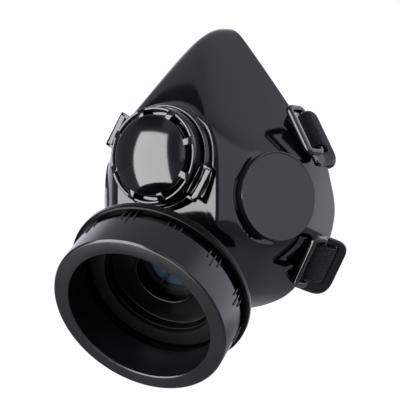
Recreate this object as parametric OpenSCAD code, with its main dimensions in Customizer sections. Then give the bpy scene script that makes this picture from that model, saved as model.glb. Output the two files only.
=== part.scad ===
// Half-face respirator with one front filter housing and a domed exhalation valve.
// Worn orientation: +Z is up, the front faces -Y, +X is the wearer's left.
// The origin is the centre of the face opening. All sizes are millimetres.

/* [Facepiece] */
// Distance of the flat front panel from the face opening
panel_reach = 63; // [61:0.5:65]
// Distance of the side faces that carry the round blanks from the centre
side_reach = 58.6; // [58:0.2:59]
// Thickness of the moulded rubber wall
wall_t = 3; // [2.5:0.5:3]
// Softness of the edges between the moulded faces
edge_soft = 2; // [1.6:0.1:2.4]
// Width of the seal lip that turns in at the face opening
lip_w = 8; // [6:0.5:10]
// Radius of the round blank on each cheek
blank_r = 20.5; // [19:0.5:21]

/* [Filter housing] */
// Radius of the open mouth of the retaining ring
mouth_r = 34; // [33:0.5:34.5]
// Outer radius of the retaining ring
ring_r = 41.2; // [41:0.1:41.6]
// Outer radius of the housing flange
flange_r = 43.4; // [43:0.1:45]
// Radius of the air passage in the housing neck
neck_bore_r = 13.6; // [12.6:0.1:13.8]
// Number of groups of grip ribs on the retaining ring
rib_groups = 12; // [6:1:16]

/* [Exhalation valve] */
// Outer radius of the valve cover ring
cover_r = 22.1; // [22:0.1:22.6]
// Radius of the domed cap at its edge
dome_r = 18.2; // [17.5:0.1:18.6]
// Height of the dome above its edge
dome_rise = 5; // [3:0.5:7]
// Number of spokes between the dome and the cover ring
spokes = 8; // [6:1:10]

/* [Buckles] */
// Width of the elastic webbing
web_w = 17.5; // [14:0.5:18]
// Radius of the round buckle rod
rod_r = 1.6; // [1.4:0.1:1.7]
// Distance between the two long rods of a buckle
buckle_span = 11; // [10:0.5:12]

/* [Hidden] */
$fn = 64;

// --- Facepiece form -------------------------------------------------------
// The rubber body is a soft-edged form bounded by flat faces. Each face has an
// azimuth from the front, an elevation and a distance from the origin.
CORE = [0, 0, -5.5];
MID_FACES = [[0, panel_reach], [32, 62.4], [48, 67.4], [66, 71.2], [88, 71], [-38, 73], [-88, 69.2]];
SIDE_FACES = [[62.5, 0, side_reach], [33, 0, 67.5], [86, -4, 55.4], [70, 34.6, 45.1],
              [78, -42, 65.6], [38, -42, 73.5], [85, -72, 70]];
around = 60;
rings = 14;
rear_bead = 2;
lip_t = 2.5;

function aim(az, el) = [sin(az) * cos(el), -cos(az) * cos(el), sin(el)];
FACES = concat([for (f = MID_FACES) [aim(0, f[0]), f[1]]],
               [for (f = SIDE_FACES, s = [-1, 1]) [aim(s * f[0], f[1]), f[2]]]);

function total(v) = v * [for (x = v) 1];
function pulls(p) = [for (f = FACES) exp((f[0] * p - f[1]) / edge_soft)];
function slope(w, d) = total([for (i = [0:len(FACES) - 1]) w[i] * (FACES[i][0] * d)]) / total(w);

// Distance from point p along d to the surface that lies depth inside the form
function reach(p, d, depth, r = 120, n = 12) =
    n == 0 ? r :
    let(w = pulls(p + r * d), g = edge_soft * ln(total(w)) + depth)
    reach(p, d, depth, r - g / slope(w, d), n - 1);

// The face opening reaches back at the cheeks, between the two tabs of each side
function rim_y(a) = 3.75 * pow(sin(a), 2) - 2 * sin(a) - 5.75 + 8.8 * exp(-pow((sin(a) + 0.29) / 0.27, 2));
function spoke(a) = [cos(a), 0, sin(a)];
function rim_point(a) =
    let(start = [0, rim_y(a), CORE[2]])
    start + spoke(a) * reach(start, spoke(a), 0);
function unit(v) = v / norm(v);
function swing(a, t) =
    let(to = unit(rim_point(a) - CORE), full = acos(-to[1]))
    ([0, -1, 0] * sin((1 - t) * full) + to * sin(t * full)) / sin(full);
function skin_ring(t, depth) =
    [for (i = [0:around - 1])
        let(d = swing(i * 360 / around, t))
        CORE + d * reach(CORE, d, depth)];
function rim_ring(inward, back) =
    [for (i = [0:around - 1])
        let(a = i * 360 / around)
        rim_point(a) - spoke(a) * inward + [0, back, 0]];

// Closes a stack of rings with a point in front and a point behind
module ring_stack(front, stack, rear) {
    pts = concat([front], [for (r = stack) each r], [rear]);
    last = len(pts) - 1;
    tips = [for (i = [0:around - 1]) [0, 1 + (i + 1) % around, 1 + i]];
    sides = [for (k = [0:len(stack) - 2], i = [0:around - 1], h = [0, 1])
        let(a = 1 + k * around + i, b = 1 + k * around + (i + 1) % around)
        h == 0 ? [a, b, b + around] : [a, b + around, a + around]];
    base = 1 + (len(stack) - 1) * around;
    ends = [for (i = [0:around - 1]) [last, base + i, base + (i + 1) % around]];
    polyhedron(pts, concat(tips, sides, ends), convexity = 6);
}

module outer_form() {
    ring_stack(
        CORE + [0, -reach(CORE, [0, -1, 0], 0), 0],
        concat([for (k = [1:rings]) skin_ring(k / rings, 0)], [rim_ring(1, rear_bead)]),
        [0, 4, CORE[2]]);
}

module inner_form() {
    ring_stack(
        CORE + [0, -reach(CORE, [0, -1, 0], wall_t), 0],
        concat([for (k = [1:rings - 1]) skin_ring(k / rings, wall_t)],
               [rim_ring(lip_w, rear_bead - lip_t), rim_ring(lip_w, 8)]),
        [0, 14, CORE[2]]);
}

// --- Places ---------------------------------------------------------------
cup_y = -85;
cup_z = -72;
cup_tilt = 38;

// Local +Z points out of the housing mouth and zero is the front of the ring
module cup_place() {
    translate([0, cup_y, cup_z]) rotate([90 + cup_tilt, 0, 0]) children();
}

// Local +Z points forward and zero is the front panel
module valve_place() {
    translate([0, -panel_reach, 0]) rotate([90, 0, 0]) children();
}

// Tabs: a point on the rim, the yaw of the tab, its lean, how its buckle lies, its reach,
// its top and bottom edges and the radius of its lower outer corner
TAB_UPPER = [[44.1, -9, 12], 65, -26, 197, 14, 14, -16, 7];
TAB_LOWER = [[46.4, -5.2, -44.4], 45, 28, 224, 15, 12.5, -16, 13];

// Local +X points out of the rim, local Z runs along it and -Y is the outer side
module tab_place(tab, side) {
    mirror([side > 0 ? 0 : 1, 0, 0])
        translate(tab[0]) rotate([0, tab[2], 0]) rotate([0, 0, tab[1]]) children();
}

module tube(outer, inner, from, to) {
    translate([0, 0, from]) difference() {
        cylinder(r = outer, h = to - from);
        translate([0, 0, -1]) cylinder(r = inner, h = to - from + 2);
    }
}

// --- Facepiece ------------------------------------------------------------
spout_r = 24;
spout_front = -32;
spout_wall = 4;
port_r = 16.2;
valve_port_r = 15.4;
collar_r = 24.5;
boss_t = 6;
pocket_r = 20.2;
tab_t = 4;
tab_corner = 6;
tab_root = 6;
tab_root_corner = 3;
slot_x = 8.6;
slot_w = 2.4;
blank_az = 62.5;
blank_at = 58.4;
blank_z = -17.6;
blank_along = -12.8;
blank_pad = 6;
groove_w = 3;
groove_d = 2;

module blank_place(side) {
    rotate([0, 0, side * blank_az]) translate([side * blank_along, 0, blank_z])
        rotate([90, 0, 0]) children();
}

module tab_outline(reach, top, bottom, low_corner) {
    hull() {
        for (z = [bottom + tab_root_corner, top - tab_root_corner])
            translate([tab_root_corner - tab_root, z]) circle(r = tab_root_corner, $fn = 32);
        translate([reach - tab_corner, top - tab_corner]) circle(r = tab_corner, $fn = 32);
        translate([reach - low_corner, bottom + low_corner]) circle(r = low_corner, $fn = 32);
    }
}

module tab(tab_spec, side) {
    tab_place(tab_spec, side) difference() {
        translate([0, tab_t / 2, 0]) rotate([90, 0, 0])
            linear_extrude(tab_t) tab_outline(tab_spec[4], tab_spec[5], tab_spec[6], tab_spec[7]);
        translate([slot_x - slot_w / 2, -5, -web_w / 2 - 0.5]) cube([slot_w, 10, web_w + 1]);
    }
}

module facepiece() color("#161618") {
    difference() {
        union() {
            difference() {
                union() {
                    outer_form();
                    cup_place() translate([0, 0, -50]) cylinder(r = spout_r, h = 50 + spout_front);
                    valve_place() translate([0, 0, -boss_t]) cylinder(r = collar_r, h = boss_t);
                }
                for (s = [-1, 1]) blank_place(s)
                    tube(blank_r + groove_w, blank_r, blank_at - groove_d, blank_at + 10);
                for (s = [-1, 1]) blank_place(s)
                    translate([0, 0, blank_at]) cylinder(r = blank_r + 1, h = 10);
            }
            for (s = [-1, 1]) blank_place(s)
                translate([0, 0, blank_at - blank_pad]) cylinder(r = blank_r, h = blank_pad);
            for (s = [-1, 1]) tab(TAB_UPPER, s);
            for (s = [-1, 1]) tab(TAB_LOWER, s);
        }
        difference() {
            inner_form();
            for (s = [-1, 1]) blank_place(s)
                translate([0, 0, blank_at - 5]) cylinder(r = blank_r + 5, h = 10);
        }
        cup_place() translate([0, 0, -48]) cylinder(r = spout_r - wall_t, h = 48 + spout_front - spout_wall);
        cup_place() translate([0, 0, -50]) cylinder(r = port_r, h = 40);
        valve_place() translate([0, 0, -12]) cylinder(r = valve_port_r, h = 24);
        valve_place() translate([0, 0, -12]) cylinder(r = pocket_r, h = 12 - wall_t);
        valve_place() cylinder(r = collar_r + 1.5, h = 12);
    }
}

// --- Filter housing -------------------------------------------------------
ring_back = -20.6;
sleeve_len = 18;
sleeve_t = 1.3;
wall_top = -5.8;
flange_front = -21.4;
flange_back = -25.5;
floor_top = -25;
recess_r = 26.4;
recess_top = -29.5;
neck_r = 16;
neck_end = -42;
wall_in = 35.6;
wall_out = 38.2;
floor_t = 2.5;

module filter_housing() color("#141416") {
    cup_place() difference() {
        union() {
            translate([0, 0, floor_top - floor_t]) cylinder(r = wall_out, h = wall_top - floor_top + floor_t);
            translate([0, 0, flange_back]) cylinder(r = flange_r, h = flange_front - flange_back);
            translate([0, 0, spout_front]) cylinder(r = recess_r + floor_t, h = 6);
            translate([0, 0, neck_end]) cylinder(r = neck_r, h = 12);
        }
        translate([0, 0, floor_top]) cylinder(r = wall_in, h = 40);
        translate([0, 0, recess_top]) cylinder(r = recess_r, h = 10);
        translate([0, 0, neck_end - 1]) cylinder(r = neck_bore_r, h = 20);
    }
}

skirt_in = 38.5;
front_t = 4;
front_round = 2.5;
rib_step = 4.2;

module retaining_ring() color("#1b1b1d") {
    cup_place() {
        rotate_extrude($fn = 96) difference() {
            union() {
                translate([mouth_r, -front_t]) square([ring_r - front_round - mouth_r, front_t]);
                translate([mouth_r, -sleeve_len]) square([sleeve_t, sleeve_len]);
                translate([ring_r - front_round, -front_round]) circle(r = front_round);
                polygon([[skirt_in, -2], [ring_r, -front_round], [ring_r, ring_back + 3.1],
                         [ring_r - 1.3, ring_back], [skirt_in, ring_back]]);
            }
            translate([mouth_r + sleeve_t, -30]) square([skirt_in - mouth_r - sleeve_t, 30 - front_t]);
        }
        for (g = [0:rib_groups - 1], k = [-1:1])
            rotate(g * 360 / rib_groups + k * rib_step + 15)
                translate([ring_r - 1.6, -0.5, ring_back]) cube([2.2, 1, k == 0 ? 8.4 : 5.6]);
    }
}

module ring_seal() color("#26262a") {
    cup_place() tube(wall_out - 0.1, wall_in + 0.1, wall_top + 0.05, -front_t - 0.05);
}

module canister_gasket() color("#242426") {
    cup_place() tube(wall_in - 1, recess_r + 1, floor_top, floor_top + 1.8);
}

nut_r = 20.6;
nut_t = 4.5;
nut_front = spout_front - spout_wall;

module housing_lock_nut() color("#1c1c1e") {
    cup_place() difference() {
        tube(nut_r, neck_r + 0.1, nut_front - nut_t, nut_front);
        for (a = [0:60:300]) rotate(a)
            translate([nut_r - 1.4, -1.5, nut_front - nut_t - 0.5]) cube([3, 3, 3]);
    }
}

// A ring with a hub and four arms; the pin stands on the hub
seat_t = 2;
pin_r = 1.2;
head_r = 2.4;

module spider(rim_r, pin_from, pin_to, head_from) {
    tube(rim_r, rim_r - 2, 0, seat_t);
    cylinder(r = 3, h = seat_t);
    for (a = [45:90:315]) rotate(a) translate([1.5, -0.7, 0]) cube([rim_r - 2.5, 1.4, seat_t]);
    translate([0, 0, pin_from]) cylinder(r = pin_r, h = pin_to - pin_from);
    translate([0, 0, head_from]) cylinder(r = head_r, h = 1);
}

// Face of the inhalation seat that the flap closes on, and the flap's thickness
seat_back = -38;
flap_t = 0.7;
flap_hole = pin_r + 0.3;

module inhalation_valve_seat() color("#e8e8e6") {
    cup_place() translate([0, 0, seat_back]) spider(neck_bore_r - 0.1, -4.6, 0, -5.5);
}

module inhalation_flap() color("#9fb6d6") {
    cup_place() tube(neck_bore_r - 1, flap_hole, seat_back - 0.4 - flap_t, seat_back - 0.4);
}

// --- Exhalation valve -----------------------------------------------------
collar_h = 3.6;
air_r = 12;
stem_r = 15.2;
wall_ring_r = 20.3;

module exhalation_valve_body() color("#121214") {
    valve_place() {
        tube(collar_r, air_r, 0, collar_h);
        tube(wall_ring_r, wall_ring_r - 2.1, collar_h - 1, collar_h + 4);
        tube(stem_r, air_r, -8, 1);
    }
}

module exhalation_valve_seat() color("#d8d8d6") {
    valve_place() translate([0, 0, 1.2]) spider(air_r - 0.1, 0, 5, 4.8);
}

module exhalation_flap() color("#c8ccd0") {
    valve_place() tube(air_r + 2.2, flap_hole, collar_h + 0.1, collar_h + 0.1 + flap_t);
}

module exhalation_clamp_ring() color("#1c1c1e") {
    clamp_r = pocket_r - 0.4;
    valve_place() difference() {
        tube(clamp_r, stem_r + 0.1, -wall_t - 3.5, -wall_t);
        for (a = [30:60:330]) rotate(a) translate([clamp_r - 1.4, -1.5, -wall_t - 4]) cube([3, 3, 2.5]);
    }
}

cover_back = collar_h + 0.5;
cover_front = 10.8;
dome_t = 1.6;
cap_z = 12.6;
lug_w = 17;
lug_t = 2;
lug_reach = 6.2;
lug_bar = 3;
lug_end = 1.6;
spoke_w = 2.6;
spoke_turn = 15;

module exhalation_valve_cover() color("#0e0e10") {
    cap_r = (dome_r * dome_r + dome_rise * dome_rise) / (2 * dome_rise);
    valve_place() {
        tube(cover_r, wall_ring_r + 0.5, cover_back, cover_front);
        tube(dome_r, dome_r - dome_t, 9, cap_z);
        intersection() {
            translate([0, 0, cap_z + dome_rise - cap_r]) difference() {
                sphere(r = cap_r, $fn = 96);
                sphere(r = cap_r - dome_t, $fn = 96);
            }
            translate([0, 0, cap_z]) cylinder(r = dome_r, h = dome_rise + 2);
        }
        for (i = [0:spokes - 1]) rotate(i * 360 / spokes + spoke_turn)
            translate([dome_r - 1, -spoke_w / 2, cover_front - 2])
                cube([cover_r - dome_r + 0.6, spoke_w, 2.8]);
        for (a = [-31.5, 148.5]) rotate(a) difference() {
            translate([cover_r - 0.7, -lug_w / 2, cover_back]) cube([lug_reach, lug_w, lug_t]);
            translate([cover_r + 0.2, -lug_w / 2 + lug_end, cover_back - 1])
                cube([lug_reach - lug_bar - 0.9, lug_w - 2 * lug_end, lug_t + 2]);
        }
    }
}

// --- Webbing and buckles --------------------------------------------------
bar_x = -0.5;
bar_y = -7.5;
web_t = 1.2;
eye_r = rod_r + 0.35;

module bar_place(tab_spec, side) {
    tab_place(tab_spec, side) translate([bar_x, bar_y, 0]) children();
}

module webbing(tab_spec, side) color("#202022") {
    slot_out = slot_x + web_t / 2;
    tab_place(tab_spec, side) translate([0, 0, -web_w / 2]) linear_extrude(web_w) difference() {
        union() {
            translate([bar_x, bar_y]) circle(r = eye_r + web_t);
            polygon([[bar_x, bar_y - eye_r - web_t],
                     [slot_out, -tab_t / 2 - 1.2], [slot_out, tab_t / 2 + 0.2],
                     [slot_out - web_t, tab_t / 2 + 0.2], [slot_out - web_t, -tab_t / 2 - 0.2],
                     [bar_x, bar_y + eye_r + web_t]]);
            translate([slot_out - 3.5, tab_t / 2 + 0.1]) square([3.5, web_t]);
        }
        translate([bar_x, bar_y]) circle(r = eye_r);
    }
}

module buckle(tab_spec, side) color("#0f0f11") {
    half = web_w / 2 + 1.2 + rod_r;
    bar_place(tab_spec, side) rotate([0, 0, tab_spec[3]]) {
        for (x = [0, buckle_span]) translate([x, 0, -half]) cylinder(r = rod_r, h = 2 * half);
        for (z = [-half, half]) {
            translate([0, 0, z]) rotate([0, 90, 0]) cylinder(r = rod_r, h = buckle_span);
            for (x = [0, buckle_span]) translate([x, 0, z]) sphere(r = rod_r);
        }
    }
}

module webbing_upper_left() webbing(TAB_UPPER, 1);
module webbing_upper_right() webbing(TAB_UPPER, -1);
module webbing_lower_left() webbing(TAB_LOWER, 1);
module webbing_lower_right() webbing(TAB_LOWER, -1);
module buckle_upper_left() buckle(TAB_UPPER, 1);
module buckle_upper_right() buckle(TAB_UPPER, -1);
module buckle_lower_left() buckle(TAB_LOWER, 1);
module buckle_lower_right() buckle(TAB_LOWER, -1);

facepiece();
filter_housing();
retaining_ring();
ring_seal();
canister_gasket();
housing_lock_nut();
inhalation_valve_seat();
inhalation_flap();
exhalation_valve_body();
exhalation_valve_seat();
exhalation_flap();
exhalation_valve_cover();
exhalation_clamp_ring();
webbing_upper_left();
webbing_upper_right();
webbing_lower_left();
webbing_lower_right();
buckle_upper_left();
buckle_upper_right();
buckle_lower_left();
buckle_lower_right();
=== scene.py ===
"""Looks for a half-face respirator.

It has a moulded rubber facepiece, a tilted filter housing and a domed exhalation valve.
"""

import math

import bmesh
import bpy
import numpy as np
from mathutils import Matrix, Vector


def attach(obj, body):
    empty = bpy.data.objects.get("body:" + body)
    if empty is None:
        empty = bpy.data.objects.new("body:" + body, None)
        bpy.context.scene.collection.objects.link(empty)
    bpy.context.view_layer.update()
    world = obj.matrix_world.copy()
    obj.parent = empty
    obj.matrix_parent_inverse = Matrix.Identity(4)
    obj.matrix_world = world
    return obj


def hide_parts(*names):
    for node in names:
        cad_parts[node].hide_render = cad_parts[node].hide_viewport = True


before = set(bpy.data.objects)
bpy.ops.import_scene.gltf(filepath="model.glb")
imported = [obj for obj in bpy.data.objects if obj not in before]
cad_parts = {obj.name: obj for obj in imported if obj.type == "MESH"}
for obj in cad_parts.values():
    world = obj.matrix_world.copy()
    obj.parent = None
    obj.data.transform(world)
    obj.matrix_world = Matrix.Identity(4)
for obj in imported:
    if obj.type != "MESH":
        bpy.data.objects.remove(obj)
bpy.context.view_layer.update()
MM = 0.001
scene = bpy.context.scene

# ---------------------------------------------------------------- camera
AZIMUTH, ELEVATION = math.radians(29.6), math.radians(-4.5)
CAMERA_AT = Vector((0.30367, -0.56451, -0.06586))
back = Vector((math.sin(AZIMUTH) * math.cos(ELEVATION), -math.cos(AZIMUTH) * math.cos(ELEVATION),
               math.sin(ELEVATION)))
camera_data = bpy.data.cameras.new("camera")
camera_data.lens = 116.4
camera_data.sensor_width = 36
camera = bpy.data.objects.new("camera", camera_data)
scene.collection.objects.link(camera)
camera.location = CAMERA_AT
camera.rotation_mode = "QUATERNION"
camera.rotation_quaternion = (-back).to_track_quat("-Z", "Y")
scene.camera = camera

# ---------------------------------------------------------------- materials
MOTTLE_SCALE = 38
MOTTLE_LOW, MOTTLE_HIGH = 0.3, 0.7


def principled(name, colour, second, rough, rough_range, grain, grain_depth, wave=0, wave_depth=0,
               **sockets):
    """A moulded finish: two close colours, a roughness that wanders, a fine grain and a slow waviness.

    grain and wave are noise scales, and their depths are in millimetres.
    """
    m = bpy.data.materials.new(name)
    m.use_nodes = True
    nt = m.node_tree
    shader = nt.nodes["Principled BSDF"]
    coords = nt.nodes.new("ShaderNodeTexCoord")

    def noise(scale, detail):
        n = nt.nodes.new("ShaderNodeTexNoise")
        n.inputs["Scale"].default_value = scale
        n.inputs["Detail"].default_value = detail
        nt.links.new(coords.outputs["Object"], n.inputs["Vector"])
        return n

    slow, fine = noise(MOTTLE_SCALE, 3), noise(grain, 4)
    ramp = nt.nodes.new("ShaderNodeMix")
    ramp.data_type = "RGBA"
    ramp.inputs["A"].default_value = (*colour, 1)
    ramp.inputs["B"].default_value = (*second, 1)
    nt.links.new(slow.outputs["Fac"], ramp.inputs["Factor"])
    nt.links.new(ramp.outputs["Result"], shader.inputs["Base Color"])
    span = nt.nodes.new("ShaderNodeMapRange")
    span.inputs["From Min"].default_value = MOTTLE_LOW
    span.inputs["From Max"].default_value = MOTTLE_HIGH
    span.inputs["To Min"].default_value = rough - rough_range
    span.inputs["To Max"].default_value = rough + rough_range
    nt.links.new(slow.outputs["Fac"], span.inputs["Value"])
    nt.links.new(span.outputs["Result"], shader.inputs["Roughness"])
    bump = nt.nodes.new("ShaderNodeBump")
    bump.inputs["Distance"].default_value = grain_depth * MM
    bump.inputs["Strength"].default_value = 1.0
    nt.links.new(fine.outputs["Fac"], bump.inputs["Height"])
    if wave:
        swell = noise(wave, 1)
        second_bump = nt.nodes.new("ShaderNodeBump")
        second_bump.inputs["Distance"].default_value = wave_depth * MM
        second_bump.inputs["Strength"].default_value = 1.0
        nt.links.new(swell.outputs["Fac"], second_bump.inputs["Height"])
        nt.links.new(second_bump.outputs["Normal"], bump.inputs["Normal"])
    nt.links.new(bump.outputs["Normal"], shader.inputs["Normal"])
    for key, value in sockets.items():
        shader.inputs[key.replace("_", " ")].default_value = value
    return m


def woven(name, colour, second):
    """Elastic webbing: a moulded finish with fine threads and a dull fibre sheen added."""
    m = principled(name, colour, second, 0.86, 0.06, 2600, 0.05, IOR=1.35)
    nt = m.node_tree
    shader = nt.nodes["Principled BSDF"]
    coords = nt.nodes["Texture Coordinate"]
    threads = nt.nodes.new("ShaderNodeTexVoronoi")
    threads.inputs["Scale"].default_value = 1500
    nt.links.new(coords.outputs["Object"], threads.inputs["Vector"])
    bump = nt.nodes.new("ShaderNodeBump")
    bump.inputs["Distance"].default_value = 0.12 * MM
    nt.links.new(threads.outputs["Distance"], bump.inputs["Height"])
    nt.links.new(nt.nodes["Bump"].outputs["Normal"], bump.inputs["Normal"])
    nt.links.new(bump.outputs["Normal"], shader.inputs["Normal"])
    shader.inputs["Sheen Weight"].default_value = 0.04
    shader.inputs["Sheen Roughness"].default_value = 0.4
    return m


RUBBER = principled("rubber", (0.0008, 0.001, 0.0013), (0.0014, 0.0016, 0.002), 0.085, 0.02,
                    900, 0.0015, 42, 0.045, IOR=1.5)
BLANK = principled("rubber_blank", (0.002, 0.002, 0.0022), (0.003, 0.003, 0.0032), 0.16, 0.025,
                   1500, 0.004, IOR=1.52)
HOUSING = principled("housing_plastic", (0.0004, 0.0004, 0.0005), (0.0007, 0.0007, 0.0008), 0.2, 0.03,
                     1200, 0.004, IOR=1.22)
RING = principled("ring_plastic", (0.002, 0.002, 0.0025), (0.003, 0.003, 0.0036), 0.2, 0.03,
                  1600, 0.006, IOR=1.5)
SEAL = principled("seal_rubber", (0.0003, 0.0003, 0.0003), (0.0006, 0.0006, 0.0006), 0.6, 0.06,
                  1500, 0.03, IOR=1.2)
PALE = principled("valve_plastic", (0.5, 0.51, 0.52), (0.6, 0.61, 0.62), 0.35, 0.05, 1300, 0.008)
GLOSS = principled("gloss_plastic", (0.0007, 0.001, 0.0014), (0.0011, 0.0016, 0.0022), 0.1, 0.02,
                   700, 0.002, 40, 0.02, IOR=1.55)
BUCKLE = principled("buckle_plastic", (0.0015, 0.0015, 0.0018), (0.0026, 0.0026, 0.003), 0.11, 0.03,
                    1400, 0.004, 120, 0.02, IOR=1.55)
BLUE = principled("inhalation_silicone", (0.011, 0.02, 0.038), (0.017, 0.028, 0.052), 0.22, 0.04,
                  900, 0.006, IOR=1.43, Transmission_Weight=0.25)
CLEAR = principled("exhalation_silicone", (0.5, 0.52, 0.55), (0.6, 0.62, 0.64), 0.25, 0.04,
                   900, 0.006, IOR=1.43, Transmission_Weight=0.4)
WEBBING = woven("webbing", (0.0025, 0.0025, 0.0027), (0.006, 0.006, 0.0064))

# ---------------------------------------------------------------- mesh helpers
WELD = 1e-7
TINY = 1e-6


def piece(name, verts, faces, material, body, replaces=(), smooth_angle=40):
    """A mesh in millimetres becomes a piece that rides on a CAD body."""
    mesh = bpy.data.meshes.new(name)
    points = np.asarray(verts, float) * MM
    mesh.from_pydata([tuple(p) for p in points], [], [tuple(int(i) for i in f) for f in faces])
    bm = bmesh.new()
    bm.from_mesh(mesh)
    bmesh.ops.remove_doubles(bm, verts=bm.verts, dist=WELD)
    bmesh.ops.recalc_face_normals(bm, faces=bm.faces)
    limit = math.radians(smooth_angle)
    for f in bm.faces:
        f.smooth = True
    for e in bm.edges:
        e.smooth = not (len(e.link_faces) == 2 and e.calc_face_angle(0) > limit)
    bm.to_mesh(mesh)
    bm.free()
    mesh.materials.append(material)
    o = bpy.data.objects.new(name, mesh)
    scene.collection.objects.link(o)
    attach(o, body)
    if replaces:
        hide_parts(*replaces)
    return o


class Stock:
    """Collects several closed bodies into one vertex and face list."""

    def __init__(self):
        self.v, self.f = [], []

    def add(self, verts, faces):
        base = len(self.v)
        self.v.extend(np.asarray(verts, float).tolist())
        self.f.extend([[i + base for i in f] for f in faces])
        return self


def grid_faces(rows, cols, wrap_rows=False, wrap_cols=True):
    out = []
    for r in range(rows if wrap_rows else rows - 1):
        for c in range(cols if wrap_cols else cols - 1):
            a, b = r * cols + c, r * cols + (c + 1) % cols
            r2 = (r + 1) % rows
            out.append((a, b, r2 * cols + (c + 1) % cols, r2 * cols + c))
    return out


def lathe(profile, segments):
    """Turns a closed (radius, height) outline round local Z. A point at radius 0 closes to a pole."""
    radius, height = np.array(profile, float).T
    a = np.linspace(0, 2 * math.pi, segments, endpoint=False)
    v = np.stack([np.outer(radius, np.cos(a)), np.outer(radius, np.sin(a)),
                  np.outer(height, np.ones(segments))], -1)
    return v.reshape(-1, 3), grid_faces(len(radius), segments, wrap_rows=radius.min() > TINY)


def rounded(points, radii, steps=5):
    """A closed outline of (x, y) points with rounded corners. radii is one radius, or one for each point."""
    pts = [np.array(p, float) for p in points]
    out = []
    for i, p in enumerate(pts):
        r = radii[i] if hasattr(radii, "__len__") else radii
        a, b = pts[i - 1] - p, pts[(i + 1) % len(pts)] - p
        la, lb = np.linalg.norm(a), np.linalg.norm(b)
        if r <= 0 or la < 1e-9 or lb < 1e-9:
            out.append(p)
            continue
        ua, ub = a / la, b / lb
        half = math.acos(max(-1, min(1, ua @ ub))) / 2
        cut = min(r / math.tan(half) if half > 1e-3 else 0, la * 0.49, lb * 0.49)
        for k in range(steps + 1):
            t = k / steps
            q0, q1 = p + ua * cut, p + ub * cut
            out.append((1 - t) ** 2 * q0 + 2 * t * (1 - t) * p + t * t * q1)
    return np.array(out)


def placed(verts, origin, ex, ey, ez):
    """Carries local points to the place given by an origin and three axes."""
    v = np.asarray(verts, float)
    return np.array(origin) + v[:, :1] * ex + v[:, 1:2] * ey + v[:, 2:3] * ez


def turned(verts, degrees):
    """Turns points round local Z."""
    c, s = math.cos(math.radians(degrees)), math.sin(math.radians(degrees))
    v = np.asarray(verts, float)
    return np.stack([v[:, 0] * c - v[:, 1] * s, v[:, 0] * s + v[:, 1] * c, v[:, 2]], -1)


def bar(x0, x1, y0, y1, z0, z1, r=0.4, steps=3):
    """A box with its long edges rounded: the outline in local YZ, run along local X with domed ends."""
    ring = rounded([(y0, z0), (y1, z0), (y1, z1), (y0, z1)], r, steps)
    cy, cz = (y0 + y1) / 2, (z0 + z1) / 2
    part = 0.3 * r
    rows = []
    for x, shrink in ((x0, r), (x0 + part, part), (x0 + r, 0), (x1 - r, 0), (x1 - part, part), (x1, r)):
        sy, sz = 1 - shrink / abs(y1 - y0) * 2, 1 - shrink / abs(z1 - z0) * 2
        y, z = cy + (ring[:, 0] - cy) * sy, cz + (ring[:, 1] - cz) * sz
        rows.append(np.stack([np.full(len(ring), x), y, z], -1))
    n = len(ring)
    v = np.concatenate(rows)
    return v, grid_faces(len(rows), n) + [tuple(range(n)), tuple(range(len(v) - n, len(v)))]


# ---------------------------------------------------------------- places
# CUP is the centre of the ring's front, VALVE the centre of the valve on the front panel.
TILT = math.radians(38)
CUP = np.array([0.0, -85.0, -72.0])
CUP_X = np.array([1.0, 0, 0])
CUP_Z = np.array([0, -math.cos(TILT), -math.sin(TILT)])
CUP_Y = np.cross(CUP_Z, CUP_X)
PANEL = 63.0
VALVE = np.array([0.0, -PANEL, 0])
VALVE_Y = np.array([0.0, 0, 1])
VALVE_Z = np.array([0.0, -1, 0])
CORE = np.array([0, 0, -5.5])


def in_cup(v):
    return placed(v, CUP, CUP_X, CUP_Y, CUP_Z)


def in_valve(v):
    return placed(v, VALVE, CUP_X, VALVE_Y, VALVE_Z)


# ---------------------------------------------------------------- facepiece
# The body is a soft-edged form bounded by flat faces. MID_FACES are (elevation, distance), SIDE_FACES are
# (azimuth, elevation, distance). They follow the CAD, with the panel above the valve bent into two.
EDGE_SOFT, PANEL_SOFT, WALL = 2.0, 0.7, 3.0
MID_FACES = [(0, PANEL), (29.5, 62.62), (34.5, 62.87), (48, 67.4), (66, 71.2), (88, 71), (-38, 73),
             (-88, 69.2)]
SIDE_FACES = [(62.5, 0, 58.6), (33, 0, 67.5), (86, -4, 55.4), (70, 34.6, 45.1), (78, -42, 65.6),
              (38, -42, 73.5), (85, -72, 70)]
AROUND, RINGS = 400, 190
INNER_RINGS = int(RINGS * 0.93)
FAR = 130.0
BLANK_AZ, BLANK_AT, BLANK_Z, BLANK_ALONG, BLANK_R = math.radians(62.5), 58.4, -17.6, -12.8, 20.5
SPOUT_R, SPOUT_END, COLLAR_R = 24, -32, 24.5
VALVE_CONE, SPOUT_CONE = math.radians(15.3), math.radians(13.1)
LIP_W = 8.0


def aim(azimuth, elevation):
    a, e = math.radians(azimuth), math.radians(elevation)
    return [math.sin(a) * math.cos(e), -math.cos(a) * math.cos(e), math.sin(e)]


FACE_N = np.array([aim(0, e) for e, d in MID_FACES]
                  + [aim(s * a, e) for a, e, d in SIDE_FACES for s in (-1, 1)])
FACE_D = np.array([d for e, d in MID_FACES] + [d for a, e, d in SIDE_FACES for s in (-1, 1)], float)


def form(p):
    """Value of the soft-edged form, below 0 inside it. The front panels have crisper edges."""
    level = p @ FACE_N.T - FACE_D
    rest = EDGE_SOFT * np.log(np.exp(level[..., 2:] / EDGE_SOFT).sum(-1))
    panels = np.logaddexp(level[..., 0] / PANEL_SOFT, level[..., 1] / PANEL_SOFT)
    return PANEL_SOFT * np.logaddexp(panels, rest / PANEL_SOFT)


def soft_max(a, b, k):
    h = np.clip(0.5 + 0.5 * (a - b) / k, 0, 1)
    return b + (a - b) * h + k * h * (1 - h)


def soft_min(a, b, k):
    return -soft_max(-a, -b, k)


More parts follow.
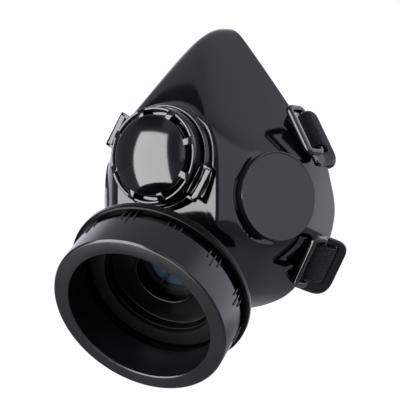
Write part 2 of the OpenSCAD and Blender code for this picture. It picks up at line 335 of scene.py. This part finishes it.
def half_wave(t):
    """Runs smoothly from 0 at t = 0 to 1 at t = 1."""
    return (1 - np.cos(math.pi * np.clip(t, 0, 1))) / 2


def cylinder_at(p, centre, axis, radius, top, k=1.0):
    """Distance-like value of a round boss that ends at height top along axis."""
    q = p - centre
    h = q @ axis
    r = np.sqrt(np.maximum((q * q).sum(-1) - h * h, 1e-9))
    return soft_max(r - radius, h - top, k)


def blank_frame(side):
    n = np.array([side * math.sin(BLANK_AZ), -math.cos(BLANK_AZ), 0])
    e = np.array([math.cos(BLANK_AZ), side * math.sin(BLANK_AZ), 0])
    return n, e, n * BLANK_AT + e * (side * BLANK_ALONG) + np.array([0, 0, BLANK_Z])


def blank_polar(p, side):
    """Height over the cheek blank, distance from its centre, and turn from its front upward in degrees."""
    n, e, c = blank_frame(side)
    q = p - c
    away = np.hypot(q @ e, q[..., 2])
    return q @ n, away, np.degrees(np.arctan2(q[..., 2], -side * (q @ e)))


def outside(p):
    """The form with spout, valve boss and a groove round each blank, deeper at its lower front."""
    f = form(p)
    f = soft_min(f, cylinder_at(p, CUP, CUP_Z, SPOUT_R, SPOUT_END), 8)
    f = soft_min(f, cylinder_at(p, VALVE, VALVE_Z, COLLAR_R, 0, 0.6), 2.5)
    f = np.maximum(f, -(p[..., 1] + PANEL))
    groove_in, groove_out, bed, top = 17.5, 21.5, 0.35, 2.0
    for side in (-1, 1):
        h, q, turn = blank_polar(p, side)
        slot = np.exp(-((turn + 22) / 42) ** 8)
        depth, width = 1.5 + 1.4 * slot, 4.2 + 1.7 * slot
        sink = depth * half_wave((q - groove_in) / 2.8)
        wall = (depth + top) * half_wave((q - groove_out) / width)
        clear = np.maximum(q - groove_out - width, 0) ** 2 * 5
        f = soft_max(f, h + bed + sink - wall - clear, 1.1)
    return f


def inside(p):
    """The hollow, with the spout's bore, the clamp ring's pocket and a thick pad behind each blank."""
    f = form(p) + WALL
    f = soft_min(f, cylinder_at(p, CUP, CUP_Z, SPOUT_R - WALL, SPOUT_END - 4), 3)
    f = soft_min(f, cylinder_at(p, VALVE, VALVE_Z, 20.2, -WALL, 0.6), 1.5)
    pad_r, pad_t = 24.5, 5
    for side in (-1, 1):
        h, q, _ = blank_polar(p, side)
        f = soft_max(f, h + pad_t - np.where(q > pad_r, (q - pad_r) * 2.5, 0), 1.2)
    return f


def along_rays(level, start, rays):
    """Halves the step along each ray until it meets the surface where level is 0."""
    low, high = np.full(len(rays), 10.0), np.full(len(rays), FAR)
    for _ in range(26):
        mid = (low + high) / 2
        out = level(start + rays * mid[:, None]) > 0
        high = np.where(out, mid, high)
        low = np.where(out, low, mid)
    return start + rays * ((low + high) / 2)[:, None]


def rim_y(a):
    """How far back the face opening's rim lies. It reaches back at the cheeks, between the tabs."""
    s = np.sin(a)
    return 3.75 * s ** 2 - 2 * s - 5.75 + 8.8 * np.exp(-(((s + 0.29) / 0.27) ** 2))


def unit(v):
    return v / np.linalg.norm(v, axis=-1, keepdims=True)


def facepiece():
    """Outer skin, rolled lip and inner skin as one closed grid with two round openings."""
    a = np.linspace(0, 2 * math.pi, AROUND, endpoint=False)
    spoke = np.stack([np.cos(a), 0 * a, np.sin(a)], -1)
    start = np.stack([0 * a, rim_y(a), 0 * a + CORE[2]], -1)
    rim = along_rays(form, start, spoke)
    to = unit(rim - CORE)
    full = np.arccos(-to[:, 1])
    t = np.linspace(0, 1, RINGS + 1)[1:]
    sin_a, sin_b = np.sin((1 - t)[:, None] * full), np.sin(t[:, None] * full)
    rays = unit(np.array([0, -1.0, 0]) * sin_a[..., None] + to * sin_b[..., None])
    # two round openings, cut as cones from the core so that the inner and outer loops match
    holes = [(unit(VALVE - CORE), VALVE_CONE), (unit(CUP - CORE), SPOUT_CONE)]
    cell = unit(rays[:-1] + rays[1:] + np.roll(rays, -1, 1)[:-1] + np.roll(rays, -1, 1)[1:])
    keep = np.ones(cell.shape[:2], bool)
    for axis, angle in holes:
        gone = (cell @ axis) > math.cos(angle)
        cut_cells = np.zeros(rays.shape[:2], int)
        for dk in (0, 1):
            for di in (0, 1):
                cut_cells[dk:RINGS - 1 + dk] += np.roll(gone, di, 1)
        edge = (cut_cells > 0) & (cut_cells < 4)
        side = rays - (rays @ axis)[..., None] * axis
        snapped = unit(axis * math.cos(angle) + unit(side) * math.sin(angle))
        rays = np.where(edge[..., None], snapped, rays)
        keep &= ~gone
    outer = along_rays(outside, CORE, rays.reshape(-1, 3)).reshape(rays.shape)
    last = INNER_RINGS
    inner = along_rays(inside, CORE, rays[:last].reshape(-1, 3)).reshape(last, AROUND, 3)

    def lip(inward, rearward):
        return rim - spoke * inward + np.array([0, rearward, 0])

    bead = [lip(*p) for p in (
        (0.05, 0.55), (0.3, 1.15), (0.8, 1.7), (1.6, 2.0), (3.4, 1.95), (5.6, 1.7), (7.1, 1.35),
        (LIP_W - 0.2, 0.9), (LIP_W, 0.35), (LIP_W - 0.2, -0.15), (7.2, -0.55), (6.0, -1.3))]
    corner, bulge = inner[-1], np.array([0, -0.8, 0])
    fillet = [bead[-1] * (1 - s) + corner * s + bulge * math.sin(s * math.pi) for s in (0.3, 0.6, 0.85)]
    stack = list(outer) + bead + fillet + list(inner[::-1])
    v = np.concatenate(stack)
    total = len(stack)
    faces = []
    for r in range(total - 1):
        for i in range(AROUND):
            j = (i + 1) % AROUND
            if r < RINGS - 1 and not keep[r, i]:
                continue
            back_row = total - 2 - r
            if back_row < last - 1 and not keep[back_row, i]:
                continue
            faces.append((r * AROUND + i, r * AROUND + j, (r + 1) * AROUND + j, (r + 1) * AROUND + i))

    def wall(k0, i0, k1, i1):
        """A face of an opening's wall, between the outer and the inner skin along one cell edge."""
        outer_ids = [k * AROUND + i % AROUND for k, i in ((k0, i0), (k1, i1))]
        inner_ids = [(total - 1 - k) * AROUND + i % AROUND for k, i in ((k1, i1), (k0, i0))]
        faces.append(outer_ids + inner_ids)

    for k in range(last - 1):
        for i in range(AROUND):
            if keep[k, i]:
                if not keep[k, (i + 1) % AROUND]:
                    wall(k, i + 1, k + 1, i + 1)
                if not keep[k, i - 1]:
                    wall(k, i, k + 1, i)
                if k and not keep[k - 1, i]:
                    wall(k, i, k, i + 1)
                if not keep[k + 1, i]:
                    wall(k + 1, i, k + 1, i + 1)
    used = np.unique(np.array(faces).ravel())
    renumber = np.full(len(v), -1)
    renumber[used] = np.arange(len(used))
    return v[used], [[renumber[i] for i in f] for f in faces]


v, f = facepiece()
piece("facepiece_shell", v, f, RUBBER, "facepiece", ["facepiece"])


def blank_disc(side):
    """The round blank: a flat pad with a thin raised edge line, set in its groove."""
    n, e, c = blank_frame(side)
    r = BLANK_R
    profile = [(0, 0), (6, 0), (12, 0), (17, 0), (19.2, 0), (19.5, 0.02), (19.8, 0.12), (20.1, 0.14),
               (20.4, 0.05), (r, -0.2), (r + 0.1, -0.9), (r + 0.15, -1.8), (r + 0.1, -4.2), (0, -4.2)]
    verts, faces = lathe(profile, 160)
    return placed(verts, c, e, np.array([0, 0, 1.0]), n), faces


for side, word in ((1, "left"), (-1, "right")):
    v, f = blank_disc(side)
    piece("cheek_blank_" + word, v, f, BLANK, "facepiece")

# ---------------------------------------------------------------- tabs, webbing, buckles
# yaw and lean set how a tab stands on the rim, lie is how its buckle lies.
TABS = {
    "upper": dict(at=(44.1, -9, 12), yaw=65, lean=-26, lie=197,
                  reach=14, top=14, bottom=-17.5, corners=(7, 6)),
    "lower": dict(at=(46.4, -5.2, -44.4), yaw=45, lean=28, lie=224,
                  reach=15, top=12.5, bottom=-16, corners=(13, 6)),
}
TAB_T, SLOT_X, SLOT_W = 4.0, 8.6, 2.4
WEB_W, WEB_T, ROD_R, ROD_GAP, SPAN = 17.5, 1.2, 1.6, 0.35, 11.0
BAR = (-0.5, -7.5)


def tab_axes(spec, side):
    """Origin and axes of a tab: x runs out of the rim, z along it and -y is the outer side."""
    g, b = math.radians(spec["yaw"]), math.radians(spec["lean"])
    ex = np.array([math.cos(g) * math.cos(b), math.sin(g), -math.cos(g) * math.sin(b)])
    ey = np.array([-math.sin(g) * math.cos(b), math.cos(g), math.sin(g) * math.sin(b)])
    ez = np.array([math.sin(b), 0, math.cos(b)])
    m = np.array([side, 1, 1])
    return np.array(spec["at"], float) * m, ex * m, ey * m, ez * m


def tab_mesh(spec):
    """A thick rubber flap with full-round edges, a slot and a flared root."""
    root, tip, low_z, high_z = -3.4, spec["reach"], spec["bottom"], spec["top"]
    low, high = spec["corners"]
    n, root_corner, slot_corner = 9, 3, 0.8
    outer = rounded([(root, low_z), (tip, low_z), (tip, high_z), (root, high_z)],
                    [root_corner, low, high, root_corner], n)
    sx, sz = SLOT_W / 2, WEB_W / 2 + 0.5
    inner = rounded([(SLOT_X - sx, -sz), (SLOT_X + sx, -sz), (SLOT_X + sx, sz), (SLOT_X - sx, sz)],
                    slot_corner, n)

    def dense(ring):
        """Adds as many points on each straight run, so that both rings match."""
        out, corner = [], n + 1
        for k in range(4):
            seg = ring[k * corner:(k + 1) * corner]
            out.extend(seg)
            nxt = ring[((k + 1) % 4) * corner]
            out.extend(seg[-1] + (nxt - seg[-1]) * s for s in np.linspace(0, 1, 14)[1:-1])
        return np.array(out)

    outer, inner = dense(outer), dense(inner)
    h = TAB_T / 2
    rows = []

    def row(u, lift, edge=0.0):
        """A ring of points at share u from slot to edge, on the outer (-1) to the inner (1) face."""
        p = inner + (outer - inner) * u
        x = p[:, 0]
        flare = np.where(lift < 0, 3.4, 0.4) * np.exp(-np.maximum(x + 2.2, 0) / 2.0)
        y = lift * (h + flare * min(1, abs(lift))) if abs(lift) > 1e-6 else np.zeros(len(p))
        pull = unit(outer - inner) * edge
        rows.append(np.stack([(p + pull)[:, 0], y, (p + pull)[:, 1]], -1))

    shares = (0.06, 0.2, 0.4, 0.6, 0.8)
    for u in shares:
        row(u, -1)
    for k in range(1, 10):
        turn = math.pi * k / 10
        row(1.0, -math.cos(turn), edge=-h * (1 - math.sin(turn)))
    for u in shares[::-1]:
        row(u, 1)
    for lift in (0.8, 0.0, -0.8):
        row(0.0, lift)
    v = np.concatenate(rows)
    return v, grid_faces(len(rows), len(outer), wrap_rows=True)


def webbing_mesh(seed):
    """Ribbed elastic folded round the buckle's rod, with both layers pulled through the slot."""
    rod, back_y = np.array(BAR), TAB_T / 2
    r = ROD_R + ROD_GAP + WEB_T / 2
    out_x, in_x = SLOT_X + 0.55, SLOT_X - 0.6
    first = np.array([out_x - 0.6, -2.9])
    path = [(SLOT_X - 2.9, back_y + 0.75), (SLOT_X - 1.0, back_y + 0.8), (out_x, back_y + 0.3), (out_x, 0.4),
            (out_x, -1.5), first]
    steps, turns, returns, bulge = 10, 14, 6, 0.55
    touch, wrap = math.radians(-62), math.radians(205)

    def spoke(angle):
        return np.array([math.cos(angle), math.sin(angle)])

    meet = rod + r * spoke(touch)
    for s in np.arange(1, steps) / steps:
        path.append(first * (1 - s) + meet * s + spoke(touch) * bulge * math.sin(s * math.pi))
    for k in range(turns + 1):
        path.append(rod + r * spoke(touch - wrap * k / turns))
    begin, tail = path[-1], np.array([in_x, -1.6])
    for k in range(1, returns + 1):
        path.append(begin * (1 - k / returns) + tail * k / returns)
    path += [(in_x, 0.6), (SLOT_X - 0.75, back_y - 0.1)]
    p = np.array(path)
    d = unit(np.gradient(p, axis=0))
    side = np.stack([d[:, 1], -d[:, 0]], -1)
    ribs, per = 17, 6
    rib_high, rib_low = 0.42, 0.18
    w = np.linspace(-1, 1, ribs * per + 1)
    rng = np.random.default_rng(seed)
    wobble = np.cumsum(rng.normal(0, 0.05, len(p)))
    wobble = (wobble - np.linspace(wobble[0], wobble[-1], len(p))) * 0.8
    wobble = np.clip(wobble, -0.25, 0.25)
    across = (w + 1) / 2 * ribs % 1 * 2 - 1
    crown = rib_high * np.sqrt(np.maximum(1 - across ** 2, 0))
    edge = 1 - 0.75 * np.clip((np.abs(w) - 0.965) / 0.035, 0, 1) ** 2
    layers = []
    for sign in (1, -1):
        t = sign * (rib_low + crown) * edge
        pos = p[:, None, :] + side[:, None, :] * t[None, :, None]
        z = w[None, :] * WEB_W / 2 + wobble[:, None] * np.abs(w[None, :]) ** 6 * np.sign(w[None, :])
        layers.append(np.concatenate([pos, z[..., None]], -1))
    loop = np.concatenate([layers[0], layers[1][:, ::-1]], 1)
    rows, cols = loop.shape[:2]
    ends = []
    for at in (0, (rows - 1) * cols):
        for c in range(cols // 2 - 1):
            ends.append((at + c, at + c + 1, at + cols - 2 - c, at + cols - 1 - c))
    return loop.reshape(-1, 3), grid_faces(rows, cols) + ends


def buckle_mesh(spec):
    """A rounded rectangular ring of a slightly flattened rod."""
    half = WEB_W / 2 + 1.2 + ROD_R
    corner = 9
    line = rounded([(0, -half), (SPAN, -half), (SPAN, half), (0, half)], 2.6, corner - 1)
    dense = []
    for k in range(4):
        seg = line[k * corner:(k + 1) * corner]
        nxt = line[((k + 1) % 4) * corner]
        dense.extend(seg)
        dense.extend(seg[-1] + (nxt - seg[-1]) * s for s in (0.33, 0.67))
    p = np.array(dense)
    d = unit(np.roll(p, -1, 0) - np.roll(p, 1, 0))
    out = np.stack([d[:, 1], -d[:, 0]], -1)
    a = np.linspace(0, 2 * math.pi, 22, endpoint=False)
    squareness, flattening = 2 / 2.6, 0.96
    cx = np.sign(np.cos(a)) * np.abs(np.cos(a)) ** squareness * ROD_R
    cy = np.sign(np.sin(a)) * np.abs(np.sin(a)) ** squareness * ROD_R * flattening
    pos = p[:, None, :] + out[:, None, :] * cx[None, :, None]
    v = np.stack([pos[..., 0], np.broadcast_to(cy, pos.shape[:2]), pos[..., 1]], -1).reshape(-1, 3)
    return turned(v, spec["lie"]) + [*BAR, 0], grid_faces(len(p), len(a), wrap_rows=True)


for level, spec in TABS.items():
    for side, word in ((1, "left"), (-1, "right")):
        axes = tab_axes(spec, side)
        v, f = tab_mesh(spec)
        piece(f"strap_tab_{level}_{word}", placed(v, *axes), f, RUBBER, "facepiece")
        v, f = webbing_mesh(7 if level == "upper" else 11)
        piece(f"webbing_loop_{level}_{word}", placed(v, *axes), f, WEBBING, "facepiece",
              [f"webbing_{level}_{word}"], 60)
        v, f = buckle_mesh(spec)
        piece(f"ring_buckle_{level}_{word}", placed(v, *axes), f, BUCKLE, f"buckle_{level}_{word}",
              [f"buckle_{level}_{word}"], 60)

# ---------------------------------------------------------------- filter housing and retaining ring
# Profiles are (radius, height) in the cup's or the valve's own frame.
MOUTH_R, RING_R, RING_BACK, SKIRT_IN = 34.0, 41.2, -20.6, 38.5
SLEEVE_END, SLEEVE_R, FRONT_T = -18, MOUTH_R + 1.3, 4
housing = rounded([
    (13.6, -42), (16, -42), (16, -32), (28.9, -32), (28.9, -27.6), (38.2, -27.5), (38.4, -25.5),
    (43.4, -25.5), (43.4, -21.4), (38.2, -21.4), (38.2, -5.8), (35.6, -5.8), (35.6, -25), (26.4, -25),
    (26.4, -29.5), (15.2, -29.5), (15.0, -28.6), (13.6, -28.6)],
    [0.4, 0.4, 0.8, 0.8, 0.6, 0.6, 0.3, 1.2, 1.0, 0.6, 0.4, 0.4, 0.4, 0.15, 0.4, 0.3, 0.5, 0.6], 4)
v, f = lathe(housing, 180)
piece("housing_cup", in_cup(v), f, HOUSING, "facepiece", ["filter_housing"])

ring = rounded([
    (MOUTH_R, SLEEVE_END), (MOUTH_R, -0.4), (MOUTH_R + 0.4, -0.03), (MOUTH_R + 2.4, 0), (RING_R - 0.7, 0),
    (RING_R, -0.8), (RING_R, -17.3), (RING_R - 0.5, -17.7), (RING_R - 1.3, RING_BACK), (SKIRT_IN, RING_BACK),
    (SKIRT_IN, -FRONT_T), (SLEEVE_R, -FRONT_T), (SLEEVE_R, SLEEVE_END)],
    [0.4, 0.25, 0.2, 0.8, 0.5, 0.5, 0.3, 0.5, 0.3, 0.3, 0.3, 0.3, 0.4], 6)
RIB_GROUPS, RIB_STEP, RIB_TURN, RIB_HALF = 12, 4.2, 26.4, 0.42
stock = Stock().add(*lathe(ring, 240))
for group in range(RIB_GROUPS):
    for k in (-1, 0, 1):
        length = 8.4 if k == 0 else 5.6
        rv, rf = bar(0, length, -RIB_HALF, RIB_HALF, RING_R - 1.5, RING_R + 0.45, 0.3)
        rv = np.stack([rv[:, 2], rv[:, 1], rv[:, 0] + RING_BACK + 0.05], -1)
        stock.add(turned(rv, group * 360 / RIB_GROUPS + k * RIB_STEP + RIB_TURN), rf)
piece("retaining_ring_body", in_cup(stock.v), stock.f, RING, "retaining_ring",
      ["retaining_ring"])

# ---------------------------------------------------------------- exhalation valve
body = rounded([
    (12, -8), (15.2, -8), (15.2, 0), (COLLAR_R, 0), (COLLAR_R, 2.4), (23.7, 3.6), (22.9, 3.6), (22.7, 3.0),
    (20.5, 3.0), (20.3, 7.6), (18.2, 7.6), (18.2, 3.6), (12, 3.6)],
    [0.4, 0.4, 0.2, 0.5, 0.9, 0.7, 0.3, 0.3, 0.3, 0.5, 0.5, 0.4, 0.5], 5)
v, f = lathe(body, 160)
piece("valve_collar", in_valve(v), f, GLOSS, "facepiece", ["exhalation_valve_body"])

COVER_R, DOME_R, DOME_T, RISE, CAP_Z = 22.1, 18.2, 1.6, 5.0, 12.6
cap_r = (DOME_R ** 2 + RISE ** 2) / (2 * RISE)
cap = [(0, CAP_Z + RISE)]
for k in range(1, 15):
    r = DOME_R * 0.965 * k / 14
    cap.append((r, CAP_Z + RISE - cap_r + math.sqrt(cap_r ** 2 - r ** 2)))
edge = [(DOME_R - 0.25, CAP_Z + 0.15), (DOME_R, CAP_Z - 0.35), (DOME_R, 9.6), (DOME_R - 0.2, 9.1),
        (DOME_R - 1.4, 9.1), (DOME_R - DOME_T, 9.5), (DOME_R - DOME_T, CAP_Z - 0.6)]
under = [(DOME_R * 0.8, CAP_Z + 0.6), (DOME_R * 0.5, CAP_Z + 2.2), (0, CAP_Z + RISE - DOME_T)]
stock = Stock().add(*lathe(cap + edge + under, 160))
rim_ring = rounded([(20.8, 4.1), (COVER_R, 4.1), (COVER_R, 10.2), (21.6, 10.8), (20.9, 10.8), (20.2, 10.1),
                    (20.2, 8.6), (20.8, 8.2)], [0.3, 0.3, 0.4, 0.3, 0.3, 0.3, 0.2, 0.2], 4)
stock.add(*lathe(rim_ring, 160))

# each spoke widens and drops from the dome to the rim ring
SPOKES, SPOKE_TURN, SPOKE_BASE = 8, 15, 8.8
for k in range(SPOKES):
    sv, sf = bar(DOME_R - 1, COVER_R - 0.05, -1.5, 1.5, SPOKE_BASE, 12.9, 0.5)
    along = np.clip((sv[:, 0] - DOME_R + 1) / 5, 0, 1)
    sv[:, 1] *= 1 + 0.22 * along
    sv[:, 2] = SPOKE_BASE + (sv[:, 2] - SPOKE_BASE) * (1 - 0.42 * along)
    stock.add(turned(sv, k * 360 / SPOKES + SPOKE_TURN), sf)

# each bayonet lug is two arms, an outer bar and a strip against the rim ring
LUG_ANGLES = (-31.5, 148.5)
LUG_BARS = ((20.3, 27.5, -8.5, -6.9), (20.3, 27.5, 6.9, 8.5), (24.6, 27.6, -8.2, 8.2), (21.5, 22.3, -7, 7))
for a in LUG_ANGLES:
    for limits in LUG_BARS:
        sv, sf = bar(*limits, 4.15, 6.05, 0.35)
        stock.add(turned(sv, a), sf)
piece("valve_cover", in_valve(stock.v), stock.f, GLOSS, "exhalation_cover",
      ["exhalation_valve_cover"])

# ---------------------------------------------------------------- carried-over CAD parts
CARRIED = {
    "ring_seal": SEAL, "canister_gasket": SEAL, "housing_lock_nut": RING, "inhalation_valve_seat": RING,
    "inhalation_flap": BLUE, "exhalation_valve_seat": PALE, "exhalation_flap": CLEAR,
    "exhalation_clamp_ring": RING,
}
for node, material in CARRIED.items():
    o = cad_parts[node]
    o.data.materials.clear()
    o.data.materials.append(material)

# ---------------------------------------------------------------- studio
# The floor glows for the camera only, so that it looks pale and lights nothing.
FLOOR_Z, FLOOR_HALF, FLOOR_GLOW = -1.1, 9, 0.6
floor_mesh = bpy.data.meshes.new("floor")
corners = [(x * FLOOR_HALF, y * FLOOR_HALF, FLOOR_Z) for x, y in ((-1, -1), (1, -1), (1, 1), (-1, 1))]
floor_mesh.from_pydata(corners, [], [(0, 1, 2, 3)])
floor = bpy.data.objects.new("floor", floor_mesh)
scene.collection.objects.link(floor)
pale = bpy.data.materials.new("floor")
pale.use_nodes = True
pale_shader = pale.node_tree.nodes["Principled BSDF"]
pale_shader.inputs["Base Color"].default_value = (0.45, 0.45, 0.45, 1)
pale_shader.inputs["Roughness"].default_value = 0.9
pale_shader.inputs["Emission Color"].default_value = (1, 1, 1, 1)
sight = pale.node_tree.nodes.new("ShaderNodeLightPath")
glow = pale.node_tree.nodes.new("ShaderNodeMath")
glow.operation = "MULTIPLY"
glow.inputs[1].default_value = FLOOR_GLOW
pale.node_tree.links.new(sight.outputs["Is Camera Ray"], glow.inputs[0])
pale.node_tree.links.new(glow.outputs[0], pale_shader.inputs["Emission Strength"])
floor_mesh.materials.append(pale)

world = bpy.data.worlds.new("studio")
scene.world = world
world.use_nodes = True
nt = world.node_tree
backdrop = nt.nodes["Background"]
coords = nt.nodes.new("ShaderNodeTexCoord")
split = nt.nodes.new("ShaderNodeSeparateXYZ")
nt.links.new(coords.outputs["Generated"], split.inputs["Vector"])


def ramp(socket, low, high, at_low=0.0, at_high=1.0):
    """A smooth step from at_low to at_high while the socket runs from low to high."""
    n = nt.nodes.new("ShaderNodeMapRange")
    n.interpolation_type = "SMOOTHSTEP"
    for key, value in (("From Min", low), ("From Max", high), ("To Min", at_low), ("To Max", at_high)):
        n.inputs[key].default_value = value
    nt.links.new(socket, n.inputs["Value"])
    return n.outputs["Result"]


def blend(factor, a, b):
    n = nt.nodes.new("ShaderNodeMix")
    nt.links.new(factor, n.inputs["Factor"])
    for name, value in (("A", a), ("B", b)):
        if isinstance(value, float):
            n.inputs[name].default_value = value
        else:
            nt.links.new(value, n.inputs[name])
    return n.outputs["Result"]


def arithmetic(operation, a, b):
    n = nt.nodes.new("ShaderNodeMath")
    n.operation = operation
    for socket, value in zip(n.inputs, (a, b)):
        if isinstance(value, (int, float)):
            socket.default_value = value
        else:
            nt.links.new(value, socket)
    return n.outputs[0]


# A dark band stands in front and at the camera's left, pale walls at the right and behind. The ceiling is
# dim, and dimmer still over the front left. The camera sees a plain white backdrop.
BACK_WALL, WALL_STEPS = 1.3, ((-104, -98, -1.05), (22, 28, 1.1), (95, 142, 0.15))
CEILING_DARK, CEILING_DIM, BACKDROP = 0.08, 0.47, 1.1
azimuth = arithmetic("ARCTAN2", split.outputs["X"], arithmetic("MULTIPLY", split.outputs["Y"], -1))
walls = BACK_WALL
for low, high, change in WALL_STEPS:
    walls = arithmetic("ADD", ramp(azimuth, math.radians(low), math.radians(high), 0, change), walls)
flag = arithmetic("MAXIMUM", ramp(split.outputs["Y"], -0.225, -0.195), ramp(split.outputs["X"], -0.2, -0.1))
ceiling = arithmetic("ADD", arithmetic("MULTIPLY", flag, CEILING_DIM), CEILING_DARK)
seen = blend(ramp(split.outputs["Z"], 0.5, 0.77), walls, ceiling)
path = nt.nodes.new("ShaderNodeLightPath")
nt.links.new(blend(path.outputs["Is Camera Ray"], seen, BACKDROP), backdrop.inputs["Strength"])
backdrop.inputs["Color"].default_value = (0.93, 0.95, 1.08, 1)


def softbox(name, azimuth, elevation, distance, width, height, radiance, target=(0, -0.04, -0.03)):
    """A rectangular light that faces the object and isn't seen by the camera."""
    data = bpy.data.lights.new(name, "AREA")
    data.shape = "RECTANGLE"
    data.size, data.size_y = width, height
    data.energy = radiance * math.pi * width * height
    o = bpy.data.objects.new(name, data)
    scene.collection.objects.link(o)
    a, e = math.radians(azimuth), math.radians(elevation)
    d = Vector((math.sin(a) * math.cos(e), -math.cos(a) * math.cos(e), math.sin(e)))
    o.location = Vector(target) + d * distance
    o.rotation_mode = "QUATERNION"
    o.rotation_quaternion = (-d).to_track_quat("-Z", "Y")
    o.visible_camera = False


softbox("front_softbox", -20.5, -9, 0.55, 0.57, 1.12, 9)

scene.view_settings.view_transform = "Standard"
